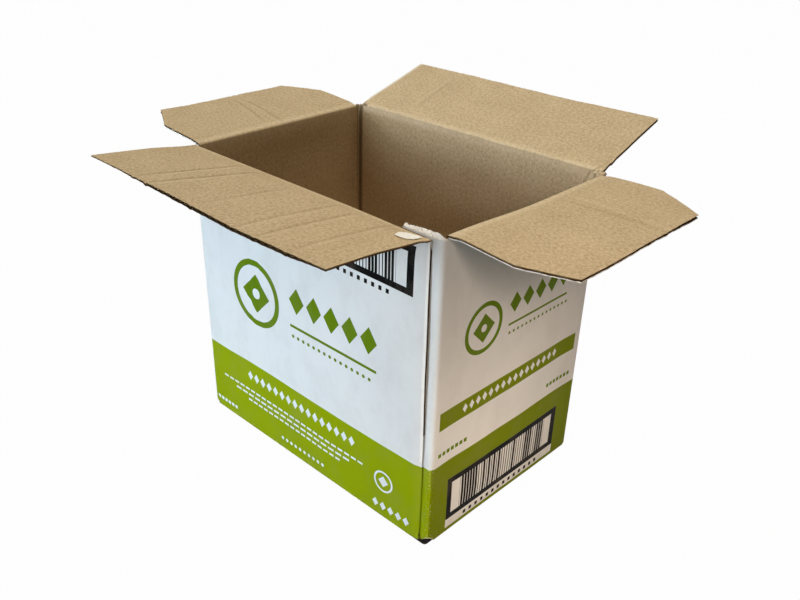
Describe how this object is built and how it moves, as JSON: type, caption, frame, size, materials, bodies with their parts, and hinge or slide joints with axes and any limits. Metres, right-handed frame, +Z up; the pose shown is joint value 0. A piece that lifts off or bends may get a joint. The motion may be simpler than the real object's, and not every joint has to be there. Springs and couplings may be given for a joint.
{
  "type": "corrugated carton",
  "caption": "Open corrugated carton, printed outside and plain brown inside, with a glued corner and base and top flaps that fold shut.",
  "frame": {"origin": "Middle of the base's underside, on the ground.", "axes": "+X along the long panels towards the glued end, +Y from the front long panel to the back one, +Z up."},
  "size_m": [0.4298, 0.3474, 0.2685],
  "materials": {
    "printed_board": "matte",
    "brown_board": "matte"
  },
  "bodies": {
    "carton": {"carton": "printed_board"},
    "front_flap": {"front_flap": "brown_board"},
    "back_flap": {"back_flap": "brown_board"},
    "left_flap": {"left_flap": "brown_board"},
    "right_flap": {"right_flap": "brown_board"}
  },
  "joints": [
    {"name": "front_fold", "type": "hinge", "parent": "carton", "child": "front_flap", "pos_m": [0, -0.09, 0.245], "axis": [-1, 0, 0], "range_deg": [-87.5, 177.5]},
    {"name": "back_fold", "type": "hinge", "parent": "carton", "child": "back_flap", "pos_m": [0, 0.09, 0.245], "axis": [1, 0, 0], "range_deg": [-99, 166]},
    {"name": "left_fold", "type": "hinge", "parent": "carton", "child": "left_flap", "pos_m": [-0.13, 0, 0.2417], "axis": [0, 1, 0], "range_deg": [-89, 176]},
    {"name": "right_fold", "type": "hinge", "parent": "carton", "child": "right_flap", "pos_m": [0.13, 0, 0.2417], "axis": [0, -1, 0], "range_deg": [-85.5, 179.5]}
  ]
}
